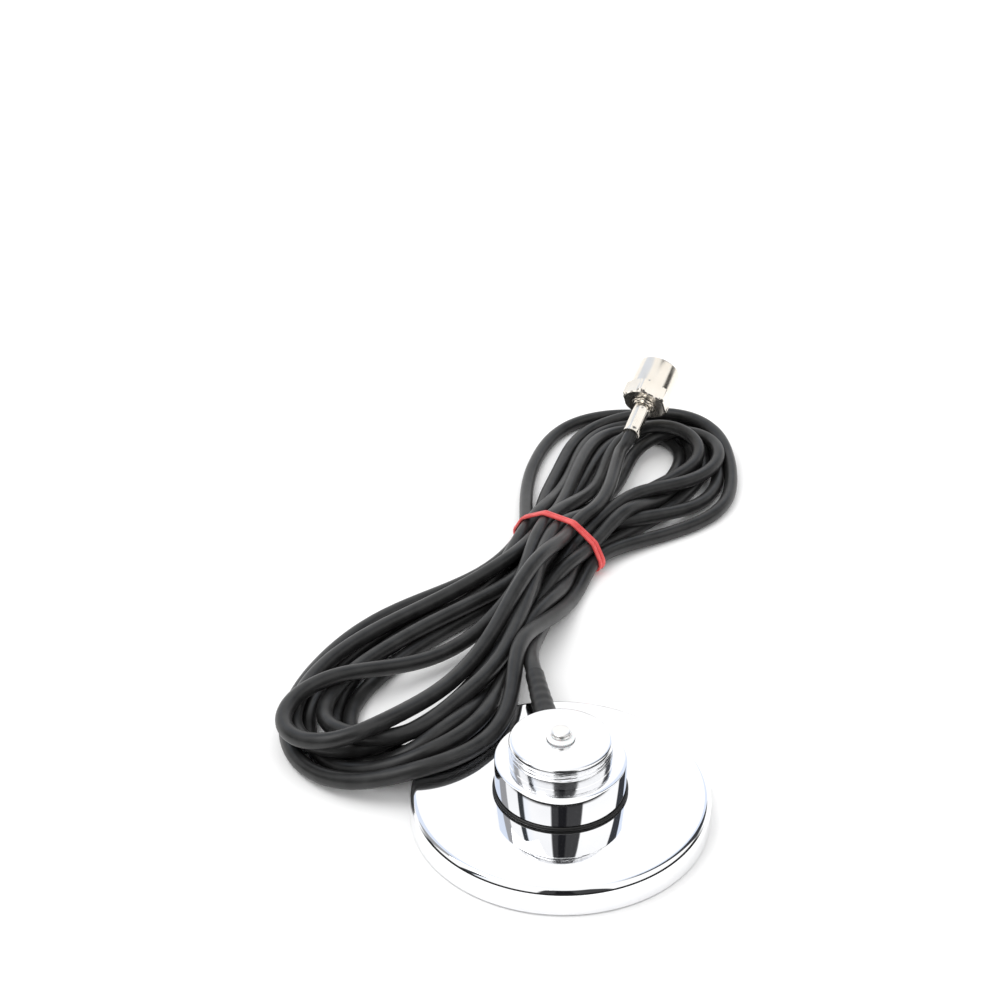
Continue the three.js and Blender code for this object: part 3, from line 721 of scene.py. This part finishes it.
def material(name, dark, light, roughness, metallic=0.0, grain=400.0, stretch=(1, 1, 1),
             bump=0.1, bump_depth=0.00005, turn=(0, 0, 0), specular=0.5, smudge=0.25,
             subsurface=0.0):
    """Two tones mixed by a coarse noise, fine grain in the bump, and smudged roughness."""
    made = bpy.data.materials.new(name)
    made.use_nodes = True
    tree = made.node_tree
    join = links(tree)
    shader = tree.nodes["Principled BSDF"]
    shader.inputs["Metallic"].default_value = metallic
    shader.inputs["Specular IOR Level"].default_value = specular
    shader.inputs["Subsurface Weight"].default_value = subsurface
    shader.inputs["Subsurface Radius"].default_value = (0.002, 0.001, 0.001)
    place = tree.nodes.new("ShaderNodeTexCoord")
    lay = tree.nodes.new("ShaderNodeMapping")
    lay.vector_type = "TEXTURE"
    lay.inputs["Rotation"].default_value = turn
    join(place, "Object", lay, "Vector")
    spread = tree.nodes.new("ShaderNodeMapping")
    spread.inputs["Scale"].default_value = stretch
    join(lay, "Vector", spread, "Vector")

    tone = tree.nodes.new("ShaderNodeTexNoise")
    tone.inputs["Scale"].default_value = grain / 8
    tone.inputs["Detail"].default_value = 6
    join(lay, "Vector", tone, "Vector")
    colours = tree.nodes.new("ShaderNodeValToRGB")
    colours.color_ramp.elements[0].position = 0.35
    colours.color_ramp.elements[0].color = (*dark, 1)
    colours.color_ramp.elements[1].position = 0.65
    colours.color_ramp.elements[1].color = (*light, 1)
    join(tone, "Fac", colours, "Fac")
    join(colours, "Color", shader, "Base Color")

    smear = tree.nodes.new("ShaderNodeTexNoise")
    smear.inputs["Scale"].default_value = grain / 20
    smear.inputs["Detail"].default_value = 4
    join(spread, "Vector", smear, "Vector")
    polish = tree.nodes.new("ShaderNodeMapRange")
    polish.inputs["To Min"].default_value = roughness * (1 - smudge)
    polish.inputs["To Max"].default_value = roughness * (1 + smudge)
    join(smear, "Fac", polish, "Value")
    join(polish, "Result", shader, "Roughness")

    fine = tree.nodes.new("ShaderNodeTexNoise")
    fine.inputs["Scale"].default_value = grain
    fine.inputs["Detail"].default_value = 3
    join(spread, "Vector", fine, "Vector")
    relief = tree.nodes.new("ShaderNodeBump")
    relief.inputs["Strength"].default_value = bump
    relief.inputs["Distance"].default_value = bump_depth
    join(fine, "Fac", relief, "Height")
    join(relief, "Normal", shader, "Normal")
    return made


def satin_above(made, height, extra):
    """Adds roughness to a material above a height, as on a turned, unpolished face."""
    tree = made.node_tree
    join = links(tree)
    shader = tree.nodes["Principled BSDF"]
    polish = shader.inputs["Roughness"].links[0].from_node
    place = tree.nodes.new("ShaderNodeTexCoord")
    split = tree.nodes.new("ShaderNodeSeparateXYZ")
    join(place, "Object", split, "Vector")
    step = tree.nodes.new("ShaderNodeMapRange")
    step.inputs["From Min"].default_value = height
    step.inputs["From Max"].default_value = height + 0.2 * MM
    step.inputs["To Max"].default_value = extra
    join(split, "Z", step, "Value")
    total = math_node(tree, "ADD")
    join(polish, "Result", total, 0)
    join(step, "Result", total, 1)
    join(total, 0, shader, "Roughness")
    return made


def make_materials():
    along_plug = plug_frame().to_euler()
    return {
        "chrome": satin_above(
            material("chrome_plating", (0.90, 0.905, 0.92), (0.95, 0.953, 0.96), 0.035,
                     metallic=1, grain=300, stretch=(0.2, 0.2, 6), bump=0.04,
                     bump_depth=0.00002),
            HUB_LEDGE + 0.2 * MM, 0.11,
        ),
        "nickel": material("nickel_plating", (0.84, 0.78, 0.69), (0.93, 0.88, 0.80), 0.2,
                           metallic=1, grain=500, stretch=(0.3, 0.3, 8), bump=0.12,
                           bump_depth=0.00002, turn=along_plug),
        "contact": material("contact_plating", (0.88, 0.87, 0.84), (0.94, 0.93, 0.91), 0.3,
                            metallic=1, grain=900, bump=0.1, bump_depth=0.00002),
        "steel": material("zinc_plated_steel", (0.55, 0.56, 0.58), (0.70, 0.71, 0.72), 0.35,
                          metallic=1, grain=1200),
        "ferrite": material("sintered_ferrite", (0.03, 0.03, 0.032), (0.06, 0.06, 0.062), 0.7,
                            grain=2500, bump=0.4),
        "black_rubber": material("black_rubber", (0.006, 0.006, 0.006), (0.014, 0.014, 0.014),
                                 0.42, grain=2000, bump=0.15, smudge=0.2, specular=0.4),
        "jacket": material("cable_jacket", (0.008, 0.008, 0.008), (0.018, 0.018, 0.018), 0.38,
                           grain=1600, bump=0.12, smudge=0.3, specular=0.45),
        "potting": material("potting_resin", (0.03, 0.03, 0.033), (0.07, 0.07, 0.075), 0.5,
                            grain=900, bump=0.2),
        "white_plastic": material("white_insulator", (0.82, 0.82, 0.84), (0.9, 0.9, 0.9), 0.3,
                                  grain=900, bump=0.05, subsurface=0.15),
        "brass": material("turned_brass", (0.72, 0.53, 0.24), (0.84, 0.66, 0.34), 0.22,
                          metallic=1, grain=900, stretch=(0.3, 0.3, 6), turn=along_plug),
        "copper": material("copper_wire", (0.66, 0.3, 0.16), (0.8, 0.42, 0.25), 0.25,
                           metallic=1, grain=900),
        "red_rubber": material("red_elastic", (0.62, 0.055, 0.055), (0.75, 0.1, 0.095), 0.4,
                               grain=1500, bump=0.2, subsurface=0.1),
        "grey_rubber": material("grey_gasket", (0.16, 0.155, 0.145), (0.26, 0.25, 0.235), 0.5,
                                grain=1500, bump=0.2),
    }


# ------------------------------------------------------------------ studio
# directions round the object that polished metal mirrors: degrees from the front, tone
SURROUND = [
    (-180, 1.0, 1.0, 1.0), (-159, 1.0, 1.0, 1.0), (-158, 0.72, 0.79, 0.92),
    (-126, 0.72, 0.79, 0.92), (-124, 0.33, 0.33, 0.34), (-103, 0.33, 0.33, 0.34),
    (-102, 1.0, 1.0, 1.0), (-76, 1.0, 1.0, 1.0), (-75, 0.04, 0.045, 0.05),
    (-65, 0.04, 0.045, 0.05), (-64, 0.9, 0.94, 1.0), (-50, 1.0, 1.0, 1.0),
    (-17.5, 1.0, 1.0, 1.0), (-16.5, 0.045, 0.045, 0.047), (-6, 0.045, 0.045, 0.047),
    (-5, 0.012, 0.012, 0.014), (8, 0.012, 0.012, 0.014), (9, 0.05, 0.05, 0.052),
    (33.5, 0.05, 0.05, 0.052), (34.5, 1.0, 1.0, 1.0), (109, 1.0, 1.0, 1.0),
    (110, 0.04, 0.043, 0.05), (138, 0.04, 0.043, 0.05), (139, 0.72, 0.79, 0.92),
    (158, 0.72, 0.79, 0.92), (159, 1.0, 1.0, 1.0), (180, 1.0, 1.0, 1.0),
]


# and low down, where the dark room shows in front under the panels
ROOM = [(-180, 1.0), (-118, 1.0), (-105, 0.02), (105, 0.02), (118, 1.0), (180, 1.0)]
OVERHEAD_TONE = (0.96, 0.965, 0.97, 1)
WORLD_STRENGTH = 1.12


def build_world():
    """The bright room that the polished metal mirrors."""
    world = bpy.data.worlds.new("studio")
    scene.world = world
    world.use_nodes = True
    tree = world.node_tree
    join = links(tree)
    back = tree.nodes["Background"]
    place = tree.nodes.new("ShaderNodeTexCoord")
    split = tree.nodes.new("ShaderNodeSeparateXYZ")
    join(place, "Generated", split, "Vector")

    # bearing from the front, through the panels
    front = math_node(tree, "MULTIPLY", 1, -1.0)
    join(split, "Y", front, 0)
    bearing = math_node(tree, "ARCTAN2")
    join(split, "X", bearing, 0)
    join(front, 0, bearing, 1)
    turn = tree.nodes.new("ShaderNodeMapRange")
    turn.inputs["From Min"].default_value = -math.pi
    turn.inputs["From Max"].default_value = math.pi
    join(bearing, 0, turn, "Value")
    panels = ramp(tree, [((d + 180) / 360, tone) for d, *tone in SURROUND])
    join(turn, "Result", panels, "Fac")

    # rise from the horizon, for the overhead screen and the low room
    height = math_node(tree, "ARCSINE")
    join(split, "Z", height, 0)
    rise = tree.nodes.new("ShaderNodeMapRange")
    rise.inputs["From Max"].default_value = math.pi / 2
    join(height, 0, rise, "Value")
    overhead = ramp(tree, [(0, [0.0] * 3), (0.72, [0.0] * 3), (0.8, [1.0] * 3), (1, [1.0] * 3)])
    join(rise, "Result", overhead, "Fac")
    skirt = ramp(tree, [(0, [1.0] * 3), (0.235, [1.0] * 3), (0.255, [0.0] * 3), (1, [0.0] * 3)])
    join(rise, "Result", skirt, "Fac")
    room = ramp(tree, [((d + 180) / 360, [tone] * 3) for d, tone in ROOM])
    join(turn, "Result", room, "Fac")
    lower = tree.nodes.new("ShaderNodeMix")
    lower.data_type = "RGBA"
    tree.links.new(skirt.outputs["Color"], lower.inputs["Factor"])
    tree.links.new(panels.outputs["Color"], lower.inputs[6])
    tree.links.new(room.outputs["Color"], lower.inputs[7])
    mixed = tree.nodes.new("ShaderNodeMix")
    mixed.data_type = "RGBA"
    tree.links.new(overhead.outputs["Color"], mixed.inputs["Factor"])
    tree.links.new(lower.outputs[2], mixed.inputs[6])
    mixed.inputs[7].default_value = OVERHEAD_TONE

    # only mirrored rays see the panels, all others a plain white
    seen = tree.nodes.new("ShaderNodeLightPath")
    plain = tree.nodes.new("ShaderNodeMix")
    plain.data_type = "RGBA"
    tree.links.new(seen.outputs["Is Glossy Ray"], plain.inputs["Factor"])
    plain.inputs[6].default_value = (1, 1, 1, 1)
    tree.links.new(mixed.outputs[2], plain.inputs[7])
    tree.links.new(plain.outputs[2], back.inputs["Color"])
    back.inputs["Strength"].default_value = WORLD_STRENGTH


def math_node(tree, operation, index=None, value=None):
    node = tree.nodes.new("ShaderNodeMath")
    node.operation = operation
    if index is not None:
        node.inputs[index].default_value = value
    return node


def ramp(tree, stops):
    """A colour ramp from (position, tone) pairs."""
    node = tree.nodes.new("ShaderNodeValToRGB")
    elements = node.color_ramp.elements
    for _ in range(len(stops) - 2):
        elements.new(0.5)
    for element, (position, tone) in zip(elements, stops):
        element.position = position
        element.color = (*tone, 1)
    return node


def build_floor():
    half = 3.0
    corners = [(-half, -half, 0), (half, -half, 0), (half, half, 0), (-half, half, 0)]
    mesh = bpy.data.meshes.new("floor")
    mesh.from_pydata(corners, [], [(0, 1, 2, 3)])
    floor = bpy.data.objects.new("floor", mesh)
    scene.collection.objects.link(floor)
    floor.data.materials.append(material(
        "pale_floor", (0.96, 0.96, 0.96), (0.97, 0.97, 0.97), 0.9, grain=40, bump=0.0,
        specular=0.1,
    ))


def build_lights():
    """One large softbox from the left."""
    data = bpy.data.lights.new("softbox", "AREA")
    data.shape = "RECTANGLE"
    data.size = 0.9
    data.size_y = 0.6
    data.energy = 4.0
    softbox = bpy.data.objects.new("softbox", data)
    place = Vector((-0.5, -0.1, 1.1))
    aim = Vector((0, 0.1, 0)) - place
    facing = aim.to_track_quat("-Z", "Y").to_matrix().to_4x4()
    softbox.matrix_world = Matrix.Translation(place) @ facing
    scene.collection.objects.link(softbox)


# ------------------------------------------------------------------ putting it together
add_camera()
cable = build_cord()
materials = make_materials()

# piece, record's slot, the CAD nodes it stands for
collar, pin = build_contact()
pieces = [
    (build_base_shell(), "chrome", "base_shell"),
    (turned("foot_pad", [(0, 0), (39.6, 0), (39.8, 0.2), (39.8, 0.9), (0, 0.9)], round_by=0),
     "black_rubber", "base_foot_pad"),
    (build_hub(), "chrome", "hub_body"),
    (build_o_ring(), "black_rubber", "hub_o_ring"),
    (collar, "white_plastic", "insulator_collar"),
    (pin, "nickel", "contact_pin"),
    (build_boot(), "black_rubber", "strain_relief_boot"),
    (build_ferrule(), "nickel", "crimp_ferrule"),
    (build_plug_body(), "nickel", "plug_body"),
    (washer("plug_ring", 4.2, 6.35, 17, 17.8), "steel", "retaining_ring"),
    (washer("gasket", 4.4, 6.35, 20.4, 21.7), "grey_rubber", "nut_gasket"),
    (washer("insulator", 1.0, 3.05, 20, 25.7), "white_plastic", "plug_insulator"),
    (build_plug_pin(), "brass", "plug_pin"),
    (build_coupling_nut(), "nickel", "coupling_nut"),
    (build_band(), "red_rubber", "rubber_band"),
]
for piece, slot, node in pieces:
    finish = "contact" if piece is pin else slot
    piece.data.materials.clear()
    piece.data.materials.append(materials[finish])
    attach(piece, "coupling_nut" if node == "coupling_nut" else "root")
    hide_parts(node)

cable.data.materials.append(materials["jacket"])
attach(cable, "root")
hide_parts("cord_lead", "cord_hank", "cord_tail")

for row in frame["record"]["subparts"]:
    node = frame["nodes"][row["node"]]
    node.data.materials.clear()
    node.data.materials.append(materials[row["material_slot"]])

build_floor()
build_world()
build_lights()
scene.view_settings.view_transform = "Standard"
